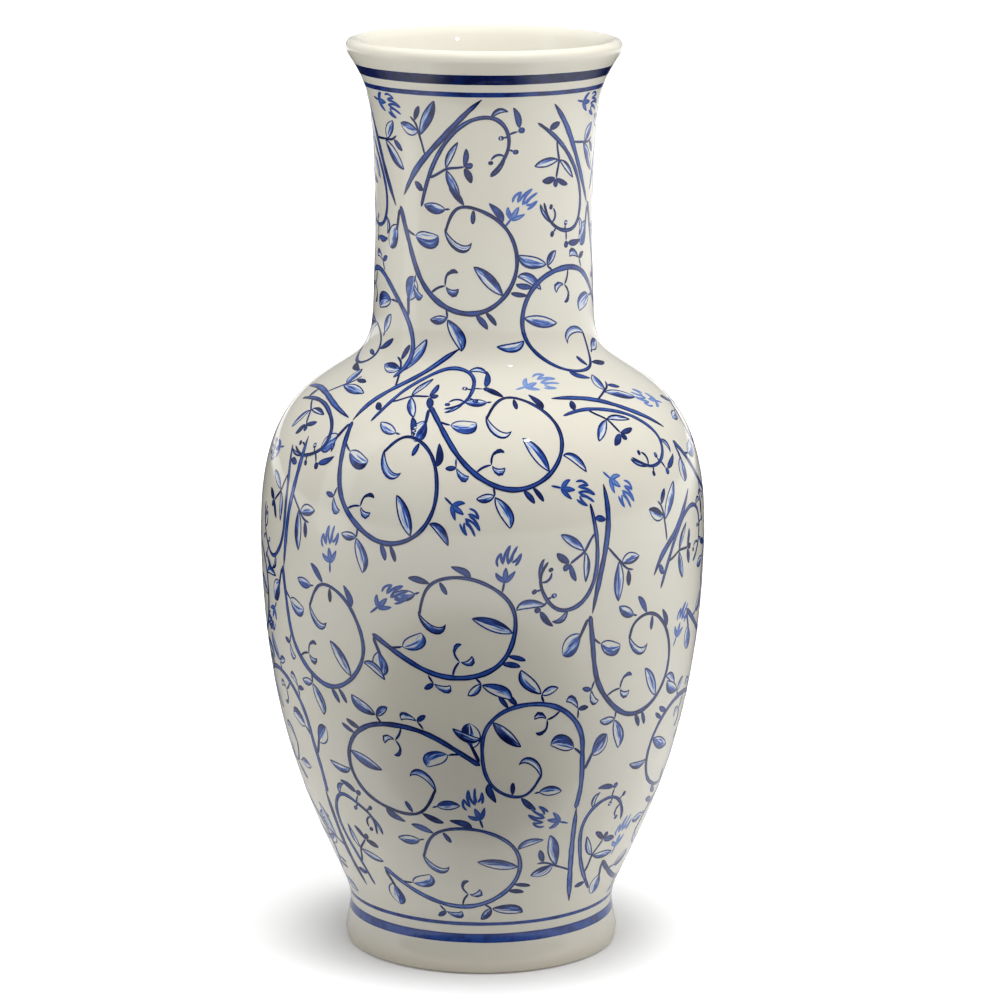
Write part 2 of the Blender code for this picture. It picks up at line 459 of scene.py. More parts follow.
RING_TWIGS = [
    # round leaf on a stalk, inside
    ((-26.5, 14.2), [(0.9, [(-26.5, 14.2), (-24.5, 12.6), (-22, 11.4)])],
     [((-22, 11.3), [(-19.5, 14.5), (-15, 12.5)], (-11, 11.4), [(-20, 5), (-9.8, 3.5)], WASHED)]),
    # hanging leaf at the tip of the stem
    ((-30.8, 22), [(1.4, [(-30.8, 22), (-32, 17), (-33, 13)])],
     [((-32.5, 15.2), [(-36.5, 16.5), (-41.5, 12)], (-38.3, 5.6), [(-31.5, 9), (-33.5, 4)],
       WASHED)]),
    # forked sprig, inside
    ((-12.8, -11.3), [(0.9, [(-12.8, -11.3), (-9.5, -9), (-6.5, -8.2)]),
                      (0.8, [(-6.5, -8.2), (-6.2, -5), (-4.8, -2.2)])],
     [((-5.3, -4), [(-4.5, -2.8), (-2.5, -2.6)], (-1, -2.9), [(-4.8, -1), (-2.2, -0.6)], SOLID),
      ((-6.2, -8.6), [(-5, -10), (-3, -10.4)], (-0.8, -9.4), [(-6, -12.5), (-1.5, -15)],
       WASHED)]),
    # almond leaf, inside
    ((18.3, -11.2), [],
     [((18.3, -11.2), [(12.5, -9), (9, -3.5)], (7, 2.3), [(18, -5), (13, 1.2)], WASHED)]),
    # bud under the crown
    ((5.6, 24.2), [], [((5.6, 24.2), [(4.6, 22), (4.8, 19.5)], (5.8, 18),
                        [(6.8, 22.5), (7.1, 19)], SOLID)]),
    # three leaves on the outside of the crown
    ((17.8, 19), [], [((17.8, 19), [(15.5, 21), (13.5, 24.5)], (12.3, 27.4),
                       [(19.5, 23), (16, 25.5)], SOLID)]),
    ((1.5, 25.6), [], [((1.5, 25.6), [(-2.5, 26.8), (-4.5, 29)], (-6.5, 31.5),
                        [(-0.5, 30), (-3.5, 31.8)], SOLID)]),
    ((-4, 22.8), [(0.9, [(-4, 22.8), (-5, 22.6), (-6.5, 22.4)])],
     [((-6, 22.4), [(-8.5, 24.8), (-12.5, 25.2)], (-16, 23.2), [(-8, 19.4), (-13, 19)],
       WASHED)]),
    # long leaf, outside
    ((24.6, -3.6), [], [((24.6, -3.6), [(27.5, -4.5), (31, -7.5)], (35.3, -9.4),
                         [(27.5, -0.3), (33.5, -2.5)], WASHED)]),
    # pair of leaves on a stalk, outside and below
    ((-5.8, -17.5), [(0.9, [(-5.8, -17.5), (-5.4, -19.5), (-5.3, -21.5)])],
     [((-5.3, -21.3), [(-7.5, -19.8), (-10.5, -20.4)], (-13, -22.3), [(-7, -24.2), (-10.5, -25)],
       WASHED),
      ((-5.2, -21.8), [(-5.8, -26.5), (-2.2, -31)], (1, -34.8), [(-0.5, -23.5), (5.5, -29.5)],
       WASHED)]),
    # small pair, outside
    ((-20.8, -4.5), [(0.8, [(-20.8, -4.5), (-21.1, -6.5), (-21.2, -8.6)])],
     [((-21.2, -8.7), [(-22.5, -7.4), (-24.5, -7.3)], (-26, -8.4), [(-22.5, -10), (-24.5, -10)],
       SOLID),
      ((-21.2, -9), [(-20, -10.5), (-18, -13.2)], (-16, -13.2), [(-21.8, -14), (-17.8, -18.5)],
       WASHED)]),
    # two buds, outside
    ((7, -19.2), [], [((7, -19.2), [(9.8, -20), (12, -22.8)], (11.6, -25.2),
                       [(7.2, -21.5), (9.3, -23.8)], SOLID)]),
    ((11, -18), [], [((11, -18), [(13.5, -19), (15.8, -22)], (15.4, -24),
                      [(11.6, -20), (13.3, -22.6)], SOLID)]),
    # curled leaf at the end of the stem
    ((-7, 15), [], [((-7, 15), [(-5, 9), (0.5, 4.2)], (3.5, 7.4), [(-8.3, 6), (1, -0.5)],
                     WASHED)]),
]

DOUBLE_STEM = [(-18, -17.5), (-15, -6.5), (-11.5, 2), (-3.5, 14), (7, 21), (15.5, 20.5),
               (20.5, 13), (18, 3), (12.5, -3)]


def berry(middle, half_width, half_height, tone):
    """A small round fruit, given in the way of a leaf."""
    x, y = middle
    left, right, low, high = x - half_width, x + half_width, y - half_height, y + half_height
    return (x, low), [(left, low), (left, high)], (x, high), [(right, low), (right, high)], tone


DOUBLE_TWIGS = [
    # sprig of three leaves, outside
    ((-10.4, 4.2), [(0.9, [(-16.3, 4.6), (-17.6, 9), (-19.3, 14), (-21.4, 18.8),
                             (-23.8, 20.8)])],
     [((-18.6, 13), [(-19.5, 19.5), (-16, 25)], (-11, 29.2), [(-12.5, 18.5), (-10, 23.5)],
       WASHED),
      ((-19.6, 14.6), [(-22, 11.5), (-26.5, 11.5)], (-29.5, 17.3), [(-22.5, 17.8), (-26, 19)],
       WASHED),
      ((-21.2, 19.5), [(-22.3, 22), (-20.5, 25)], (-18.6, 26), [(-19.6, 21), (-18, 23.5)],
       SOLID)]),
    # leaf near the start
    ((-17, -10.4), [], [((-17, -10.4), [(-17.5, -8), (-19.5, -6.5)], (-21.3, -7),
                         [(-19, -11.5), (-21, -9.5)], SOLID)]),
    # flowering branch, inside
    ((-14.3, -5), [(1.0, [(-14.3, -5), (-10, -2.8), (-6, -0.3), (-1.2, 0.6), (2, 1.2)])],
     [((-6.3, 0), [(-4, 3), (-1.8, 7.5)], (-1, 11.9), [(-7.8, 6), (-3.5, 9.5)], WASHED),
      ((-6, -0.8), [(-2.5, -3.5), (0, -7.5)], (0.3, -12), [(-6.8, -6), (-3.5, -10.5)], WASHED),
      ((2, 1.2), [(1.2, 4.5), (1.8, 7.5)], (2.7, 9.2), [(4.2, 4), (4.2, 7.2)], SOLID),
      ((2, 1.5), [(3.5, 3), (5, 3.2)], (5.8, 2.3), [(3.5, 0), (5.6, 0.2)], SOLID),
      ((2.2, 0.6), [(1.5, -2), (3.2, -4.6)], (5.3, -5.8), [(5.5, -0.5), (6.2, -3.5)], SOLID)]),
    # leaf on the crown
    ((13, 21.6), [], [((13, 21.6), [(15, 22.3), (17, 24.6)], (20.5, 23.9),
                       [(14, 25.5), (17.5, 27)], WASHED)]),
    # bud and leaf, outside
    ((20.3, 13.8), [(0.8, [(20.3, 13.8), (22.4, 14.7), (24.5, 15.2)])],
     [((25.2, 16.8), [(23, 18.5), (23.3, 22)], (22.1, 25.6), [(26.8, 20), (25.2, 23.6)], SOLID),
      berry((26.1, 15.7), 1.7, 1.3, SOLID)]),
    # small buds and a tendril
    ((20.3, 13), [(0.8, [(20.3, 13), (19.2, 12.9), (18.2, 12.8)])],
     [berry((17.2, 12.7), 1.3, 1.0, WASHED)]),
    ((20.4, 7.6), [(0.8, [(20.4, 7.6), (21.5, 7.2), (22.6, 6.7)])],
     [berry((23.4, 6.4), 1.4, 1.0, SOLID)]),
    ((19, 4.6), [(0.9, [(19, 4.6), (16.8, 5.7), (14.2, 5.2), (12.6, 3.6)])],
     [berry((12.4, 2.4), 1.2, 0.9, SOLID)]),
    # leaf that ends the stem
    ((19.2, 5.5), [], [((19.2, 5.5), [(17.5, 3), (15, -0.9)], (12.3, -2.8),
                        [(18.8, 1.5), (15.5, -2.8)], WASHED)]),
]

# Feathery flower: stalk, three sepals and a scribbled plume, with their loads of paint
SEPAL_EDGE, SEPAL_WASH = 0.78, 0.60
FEATHER_EDGE, FEATHER_WASH = 0.75, 0.62
PLUME_STALK = [(-2, -12), (-1.6, -9.5), (-1.2, -7)]
PLUME_SEPALS = [
    ((-1, -7.6), [(-3.2, -7.4), (-5.2, -6)], (-5, -3.4), [(-1, -5.2), (-3.6, -5.2)]),
    ((-1, -7.6), [(-2.4, -5.8), (-2, -3.2)], (-0.8, -1.2), [(0.8, -5.8), (0, -3.2)]),
    ((-1, -7.6), [(0.4, -7.6), (2.4, -5.8)], (3.2, -2.6), [(-0.8, -5.2), (1.4, -4.2)]),
]
PLUME_STROKES = [
    [(-4.2, -1), (-4.8, 1.2), (-3, 5)], [(-3, 5), (-2.8, 1.8), (-2, 0)],
    [(-2, 0.5), (-1.4, 4.6), (0.8, 8.3)], [(0.8, 8), (-0.4, 4), (0.2, 0)],
    [(0.5, 0.5), (1.6, 4), (3.8, 8)], [(3.6, 7.5), (1.8, 4), (1.5, 1.2)],
    [(1.6, 0.8), (3.6, 2.2), (5.5, 5)], [(5.5, 5), (4.6, 2), (3, -0.5)],
]


# ---- where the vine runs -----------------------------------------------------------------------
# Copies of each scroll are turned round the vase by the degrees given with it.
# Anchor (degrees to the right of the front, millimetres up) and the stem's way past it.

RING_SCROLLS = {
    "neck": ((-8, 310), (0, 120, 240), [(-33, 22), (-27.5, 6), (-19.5, -11), (-8, -20), (6, -21),
        (17, -12.5), (21, 0), (17, 13), (7.5, 21), (-4, 23), (-10, 12)]),
    "neck_root": ((43, 284), (0, 120), [(36, 1), (26, 11), (14, 20), (0, 21.5), (-11, 17),
        (-18, 6.5), (-18, -6), (-11, -16), (0, -23.5), (11.5, -22.5), (17, -12), (15.5, -7)]),
    "neck_root_tall": ((-62, 300), (0,), [(20, -43), (21.5, -30), (16, -15), (7, -5), (-5, 2.5),
        (-16, 1), (-25, -7), (-28, -18), (-25, -30), (-16, -38), (-6, -40), (0, -34), (-1, -26),
        (-7, -21)]),
    "shoulder": ((6.3, 239), (0, 185), RING_STEM),
    "shoulder_round": ((-26, 226), (0, 185), [(-24, 23), (-24, 6), (-20.5, -12), (-11.5, -22.5),
        (2, -28.5), (16, -23.5), (22.5, -12), (22, 2), (16, 13), (5.5, 17.5), (-3.5, 9)]),
    "shoulder_wide": ((89, 222), (0,), [(-36, 13), (-25.5, -1.5), (-11, -15), (7, -18.5), (22, -6),
        (23, 9), (10, 21.5), (-5, 24), (-11, 11)]),
    "belly_long": ((-42, 160), (0, 185), [(-33.5, 18.5), (-30.5, 2), (-27, -12), (-15.5, -24.5),
        (-2, -29), (11, -22.5), (17.5, -10), (14.5, 3.5), (7, 13), (-4, 16), (-12.5, 4.5)]),
    "belly_middle": ((-6, 165), (0, 95, 185, 278), [(-38, -7), (-24, -15.5), (-10, -22), (4, -23),
        (17, -17.5), (23.5, -5), (22.5, 8), (13, 17), (0, 20.5), (-11.5, 17), (-16.5, 3)]),
    "belly_tall": ((43, 141), (0, 185), [(-25.5, 25.5), (-23, 10), (-19.5, -4), (-11.5, -15),
        (0, -22), (13, -20.5), (23, -10.5), (24, 4), (17.5, 16), (7, 22), (-2.5, 18), (-4, 12.5)]),
    "low_left": ((-20, 96), (0, 96, 192, 275), [(30, 5), (20, 13), (7.5, 20.5), (-6, 23),
        (-19, 20.5), (-28.5, 11.5), (-30.5, -2), (-24.5, -12.5), (-13, -18.5), (1, -19),
        (10, -6)]),
    "low_right": ((12, 106), (0, 96, 192, 275.4), [(25, -29.5), (26.5, -18), (26, -4), (25, 6.5),
        (20, 16), (11, 22.5), (0, 24), (-11, 20.5), (-17.5, 12.5), (-18.5, 1), (-16, -10),
        (-9.5, -17.5), (0, -19.5), (7.5, -9.5)]),
    "foot": ((-4, 52), (0, 87, 183, 279), [(-40, -10), (-30, -15.5), (-16, -21), (-2, -22.5),
        (11.5, -17.5), (20.5, -6.5), (20, 8), (11, 17.5), (-2, 21), (-14.5, 17), (-20, 3)]),
}
LONG_STEMS = {"neck_root_tall": 28.0, "low_right": 18.0}  # mm without twigs
DOUBLE_SCROLLS = {
    "neck_left": ((-12, 350), (0, 120, 240), DOUBLE_STEM, [(-27.5, -13.5), (-21, -2.5), (-9, 11),
        (4, 24.5), (9.5, 29.5)]),
    "neck_right": ((55, 345), (0, 120, 238), [(-23, 23.5), (-14, 17.5), (-5, 9), (2.5, -2),
        (5, -13.5), (1, -22), (-7.5, -23), (-15, -18), (-18, -10.5)], [(-16, 31.5), (-9, 23.5),
        (-2, 12.5), (5, -0.5), (12, -13.5)]),
    "shoulder_left": ((-25, 250), (0, 185), [(-15.5, -6), (-11.5, 2), (-7, 11.5), (1, 21.5),
        (11, 27.5), (19, 26), (22.5, 18), (21, 8.5), (15, 4)], [(-25, -5), (-20.5, 3.5),
        (-12.5, 13), (-4, 21), (5, 30.5), (11, 36.5)]),
    "shoulder_right": ((44, 238), (0, 185), [(-23.5, 16.5), (-12.5, 17), (-2.5, 15), (8.5, 11),
        (17.5, 5), (23, -3), (20, -11), (11.5, -14), (0.5, -9)], [(-22.5, 27), (-11.5, 24),
        (-1, 20), (11, 13.5), (21.5, 8), (30.5, 3)]),
    "shoulder_flat": ((-60, 240), (0, 185), [(-27, 10.5), (-13, 11.5), (0, 10), (9.5, 6), (16, 0),
        (16.5, -7), (11, -12), (3, -14), (-4, -11.5)], [(-36, 18.5), (-20, 18), (-4, 14.5),
        (8, 11), (20.5, 8.5)]),
    "belly_upright": ((25, 190), (0, 185), [(5.5, 24.5), (7.5, 13), (8, 1), (5.5, -10.5),
        (-1.5, -18.5), (-9, -19.5), (-16, -13), (-17.5, -3.5), (-14.5, 1.5)], [(13, 32),
        (14, 19.5), (12.5, 6.5), (9, -8.5), (6, -22.5)]),
    "belly_drooping": ((-62, 175), (0, 185), [(-4, 56), (0.5, 44), (2, 30), (1, 18), (-4, 9.5),
        (-11, 6), (-17.5, 9.5), (-22.5, 17), (-20, 26)], [(6.5, 62), (8, 50), (7, 38), (5, 26),
        (3.5, 15), (1.5, 3)]),
    "belly_slanting": ((66, 175), (0, 185), [(-24.5, -2.5), (-18.5, 10), (-8.5, 23), (5, 28.5),
        (12.5, 25), (14.5, 17), (12, 9.5), (5.5, 4)], [(-29.5, 4), (-24, 12), (-16, 18.5),
        (-7, 26.5), (2.5, 36)]),
    "low_left": ((-50, 82), (0,), [(4, -50), (-0.5, -33), (-4, -20), (-3, -9.5), (4, -2),
        (12.5, -5), (19, -12), (18.5, -20)], [(-3, -52), (-7, -36), (-8, -18), (-8.5, -3)]),
    "low_right": ((58, 70), (0, 96, 192), [(-11.5, -39.5), (-22.5, -27), (-30, -14), (-33, -2),
        (-30, 6), (-21, 10), (-12.5, 4), (-9.5, -3)], [(-21, -45), (-28, -30), (-35, -12),
        (-40, 6)]),
}
# Anchor, direction of growth in degrees from rightwards, strength of the paint, copies
PLUMES = [
    (20.1, 334, 60, 0.7, (0, 120, 240)), (65.4, 374.6, 0, 0.9, (0, 120, 240)),
    (23.8, 260, 20, 0.5, (0, 185)), (67.6, 249, 165, 0.6, (0, 185)),
    (-4.4, 210.5, -35, 0.95, (0, 185)), (25.1, 219.5, -8, 0.95, (0, 185)),
    (38.5, 218, -38, 0.7, (0, 185)), (-41.4, 194, 100, 0.8, (0, 185)),
    (6.3, 191, 88, 0.95, (0, 185)), (-23.4, 175, 48, 0.9, (0, 185)),
    (-77, 225, 205, 0.9, (0, 185)), (-72, 152, 235, 0.9, (0, 185)),
    (-1.9, 83, 115, 0.9, (0, 96, 192)), (19.7, 75.5, 168, 0.9, (0, 96, 192)),
    (54.8, 60, 95, 0.6, (0, 96, 192)), (63.4, 154.6, 70, 0.7, (0, 185)),
]


class Route:
    """Carries what grows on a drawn stem to the same share of another stem."""

    def __init__(self, drawn, new, bare=0.0):
        self.drawn, self.new = smooth_line(drawn, 0.5), smooth_line(new, 0.5)
        self.drawn_share = distances(self.drawn) / distances(self.drawn)[-1]
        far = distances(self.new)
        self.new_share = (far - bare) / (far[-1] - bare)

    @staticmethod
    def _frame(line, shares, share):
        place = np.array([np.interp(share, shares, line[:, k]) for k in (0, 1)])
        before, after = ([np.interp(share + d, shares, line[:, k]) for k in (0, 1)]
                         for d in (-0.02, 0.02))
        return place, math.atan2(after[1] - before[1], after[0] - before[0])

    def carry(self, root, jitter):
        """A function that moves a twig's points from the drawn stem to the new one."""
        share = self.drawn_share[np.argmin(np.linalg.norm(self.drawn - root, axis=1))]
        here, heading = self._frame(self.drawn, self.drawn_share, share)
        there, new_heading = self._frame(self.new, self.new_share, share)
        turn, size = new_heading - heading + jitter[0], jitter[1]
        spin = np.array([[math.cos(turn), -math.sin(turn)], [math.sin(turn), math.cos(turn)]])

        def move(points):
            return (np.asarray(points, float) - here) @ spin.T * size + there
        return move


# Width of the brush in mm at shares of the way along a stem
RING_WIDTHS = [(0, 2.2), (0.35, 2.3), (0.6, 1.7), (0.8, 1.5), (1, 1.1)]
DOUBLE_WIDTHS = [(0, 1.2), (0.15, 1.9), (0.7, 1.7), (1, 1.0)]
OUTER_WIDTHS = [(0, 1.4), (0.2, 2.6), (0.8, 2.3), (1, 1.2)]


def vary(tone, painting, strength=1.0):
    """The same tone from a brush that is never loaded quite the same."""
    edge, wash, spread = tone
    load = painting.random.uniform(0.88, 1.08) * strength
    return (edge * load, wash * load * painting.random.uniform(0.85, 1.1),
            spread if spread == 1.0 else spread * painting.random.uniform(0.8, 1.3))


def paint_twigs(painting, route, twigs):
    """Carries each twig to its place on the stem and paints its leaves and fine strokes."""
    for root, strokes, leaves in twigs:
        jitter = (painting.random.uniform(-0.07, 0.07), painting.random.uniform(0.95, 1.05))
        move = route.carry(root, jitter)
        for number, (base, thin, tip, thick, tone) in enumerate(leaves):
            base, tip = move([base, tip])
            painting.leaf(base, move(thin), tip, move(thick), vary(tone, painting), level=number)
        for width, points in strokes:
            painting.stroke(move(points), width, vary(FINE, painting), level=4)


def paint_ring(painting, way, bare=0.0):
    """A ring scroll; bare is how many millimetres of its stem come before the first twig."""
    paint_twigs(painting, Route(RING_STEM, way, bare), RING_TWIGS)
    painting.stroke(way, RING_WIDTHS, vary(STEM, painting), level=6)


def paint_double(painting, way, outer):
    """A double scroll: a curled stem with twigs, and a plain stroke beside it."""
    paint_twigs(painting, Route(DOUBLE_STEM, way), DOUBLE_TWIGS)
    painting.stroke(way, DOUBLE_WIDTHS, vary(STEM, painting), level=5)
    painting.stroke(outer, OUTER_WIDTHS, vary(STEM, painting), level=7, taper=(5, 5))


def paint_plume(painting, direction, strength):
    """A feathery flower in thinner paint, growing in a direction given in degrees."""
    turn = math.radians(direction - 90)
    spin = np.array([[math.cos(turn), -math.sin(turn)], [math.sin(turn), math.cos(turn)]])

    def move(points):
        return np.asarray(points, float) @ spin.T
    painting.stroke(move(PLUME_STALK), 0.9, vary(FINE, painting, strength * 0.9), level=3)
    for number, (base, thin, tip, thick) in enumerate(PLUME_SEPALS):
        base, tip = move([base, tip])
        tone = (SEPAL_EDGE * strength, SEPAL_WASH * strength, 1.0)
        painting.leaf(base, move(thin), tip, move(thick), tone, level=number)
    for number, points in enumerate(PLUME_STROKES):
        tone = (FEATHER_EDGE * strength, FEATHER_WASH * strength, 1.0)
        painting.stroke(move(points), 1.05, tone, level=number % 3, taper=(1.2, 1.2))


# ---- painted rings -----------------------------------------------------------------------------

# Name, lower and upper edge in mm, tone, waver of the edges in mm
BANDS = [
    ("lip_band", 385.65, 389.9, (1.0, 1.0, 1.0), 0.12),
    ("lip_line", 380.2, 382.3, (0.82, 0.78, 1.0), 0.12),
    ("foot_line", 21.9, 23.6, (0.74, 0.70, 1.0), 0.15),
    ("foot_band", 14.0, 18.1, (0.78, 0.66, 1.0), 0.12),
]


def paint_band(name, low, high, tone, waver, material, seed):
    """A ring painted on the wheel, closed on itself."""
    around, columns = 720, 4
    chance = random.Random(seed)
    angles = np.linspace(0, 2 * math.pi, around, endpoint=False)

    def wavering():
        return sum(waver / n**0.5 * math.sqrt(0.3) * np.sin(n * angles + chance.uniform(0, 6))
                   for n in (2, 5, 9, 17, 31))
    low = WALL.up_to(low) + wavering()
    high = WALL.up_to(high) + wavering()
    share = np.linspace(0, 1, columns + 1)
    width = (high - low)[:, None]
    distance = low[:, None] + width * share
    angle = np.repeat(angles[:, None], columns + 1, axis=1)
    reach = np.stack([width * share, width * (1 - share), angle / math.tau], axis=-1)
    height = bpy.context.scene.vase_paint.height / MM
    points = np.concatenate([WALL.place(distance, angle, lift).reshape(-1, 3)
                             for lift in (height, -SUNK)])
    faces = [face[::-1] for face in shell_faces(around, columns, closed=True)]
    piece = new_piece(name, points, faces, material, "cobalt_brushwork", sharp_degrees=50)
    add_layer(piece, "reach", np.tile(reach.reshape(-1, 3), (2, 1)))
    add_layer(piece, "tone", np.tile(tone, (len(points), 1)))


# ---- materials ---------------------------------------------------------------------------------

GLAZE_IOR = 1.5
# Sizes of the patterns, in millimetres
VEIL_SIZE = 71.4        # clouds of thinner glaze
SPECK_SPACING = 18.2    # between grains of grit; about one in twenty shows
SPECK_RADIUS = 0.364    # of the largest
FOOT_FADE = 16.0        # height over which the glaze thickens above the foot
RIDGE_PITCH = 10.5      # between throwing ridges
RIDGE_LENGTH = 200.0
PEEL_SIZE, PEEL_DEPTH = 3.85, 0.006
GRAIN_SIZE, GRAIN_DEPTH = 1.1, 0.08
BRISTLE_SIZE = 1.43     # wobble of a painted edge
POOL_SIZE = 5.26        # pools in a wash
HAIR_DRIFT = 16.7       # over which the brush's hairs wander
EDGE_WOBBLE = 0.36
GRIT = "#7A6A58"
FADED_BLUE = "#D5DCE6"
MATH, RANGE, NOISE = "ShaderNodeMath", "ShaderNodeMapRange", "ShaderNodeTexNoise"
SOFT = {"interpolation_type": "SMOOTHSTEP"}


def per_metre(size):
    """Scale of a pattern whose features are a size in millimetres."""
    return 1 / (size * MM)


def glaze_surface(tree, shader, settings):
    """Colour and relief of the tin glaze, the same wherever it is used. Returns the colour."""
    place = add_node(tree, "ShaderNodeTexCoord").outputs["Object"]
    cloud = add_node(tree, NOISE, {"Vector": place, "Scale": per_metre(VEIL_SIZE), "Detail": 3.0})
    veil = add_node(tree, RANGE, {0: cloud, 1: 0.35, 2: 0.75, 4: 0.35})
    grit = add_node(tree, "ShaderNodeTexVoronoi", {
        "Vector": place, "Scale": per_metre(SPECK_SPACING)})
    chance = add_node(tree, "ShaderNodeSeparateColor", {"Color": grit.outputs["Color"]})
    limit = add_node(tree, RANGE, {0: chance, 1: 0.955, 2: 1.0, 4: SPECK_RADIUS / SPECK_SPACING})
    speck = add_node(tree, MATH, {0: grit.outputs["Distance"], 1: limit}, operation="LESS_THAN")
    height = add_node(tree, "ShaderNodeSeparateXYZ", {"Vector": place}).outputs["Z"]
    foot = add_node(tree, RANGE, {0: height, 2: FOOT_FADE * MM, 3: 0.75, 4: 0.0}, **SOFT)
    thinness = add_node(tree, MATH, {0: veil, 1: foot}, operation="MAXIMUM")
    body = add_node(tree, "ShaderNodeMix", {
        "Factor": thinness, "A": colour(settings.white), "B": colour(settings.thin)},
        data_type="RGBA").outputs["Result"]
    spotted = add_node(tree, "ShaderNodeMix", {
        "Factor": speck, "A": body, "B": colour(GRIT)}, data_type="RGBA").outputs["Result"]
    long_way = per_metre(RIDGE_LENGTH)
    stretched = add_node(tree, "ShaderNodeMapping", {
        "Vector": place, "Scale": (long_way, long_way, per_metre(RIDGE_PITCH))})
    ridges = add_node(tree, NOISE, {"Vector": stretched, "Scale": 1.0, "Detail": 2.0})
    pits = add_node(tree, NOISE, {"Vector": place, "Scale": per_metre(PEEL_SIZE), "Detail": 1.0})
    throwing = add_node(tree, "ShaderNodeBump", {
        "Height": ridges, "Distance": settings.ripple, "Strength": 1.0})
    peel = add_node(tree, "ShaderNodeBump", {
        "Height": pits, "Distance": PEEL_DEPTH * MM, "Strength": 1.0, "Normal": throwing})
    tree.links.new(peel.outputs["Normal"], shader.inputs["Normal"])
    return spotted


def glaze_material(settings):
    """Opaque tin glaze over earthenware: milky white, glossy, with faint throwing ridges."""
    material, tree, shader = new_material(
        "Milky tin glaze on earthenware", Roughness=settings.roughness, IOR=GLAZE_IOR,
        Metallic=0.0)
    tree.links.new(glaze_surface(tree, shader, settings), shader.inputs["Base Color"])
    return material


def clay_material(settings):
    """Unglazed fired clay, wiped clean for the kiln shelf: matt, warm and grainy."""
    material, tree, shader = new_material("Bare fired clay", Roughness=0.85, IOR=1.45)
    place = add_node(tree, "ShaderNodeTexCoord").outputs["Object"]
    grain = add_node(tree, NOISE, {
        "Vector": place, "Scale": per_metre(GRAIN_SIZE), "Detail": 4.0})
    darker = tuple(c * 0.55 for c in colour(settings.clay)[:3]) + (1.0,)
    tint = add_node(tree, "ShaderNodeMix", {
        "Factor": grain, "A": colour(settings.clay), "B": darker}, data_type="RGBA")
    relief = add_node(tree, "ShaderNodeBump", {"Height": grain, "Distance": GRAIN_DEPTH * MM})
    tree.links.new(tint.outputs["Result"], shader.inputs["Base Color"])
    tree.links.new(relief.outputs["Normal"], shader.inputs["Normal"])
    return material


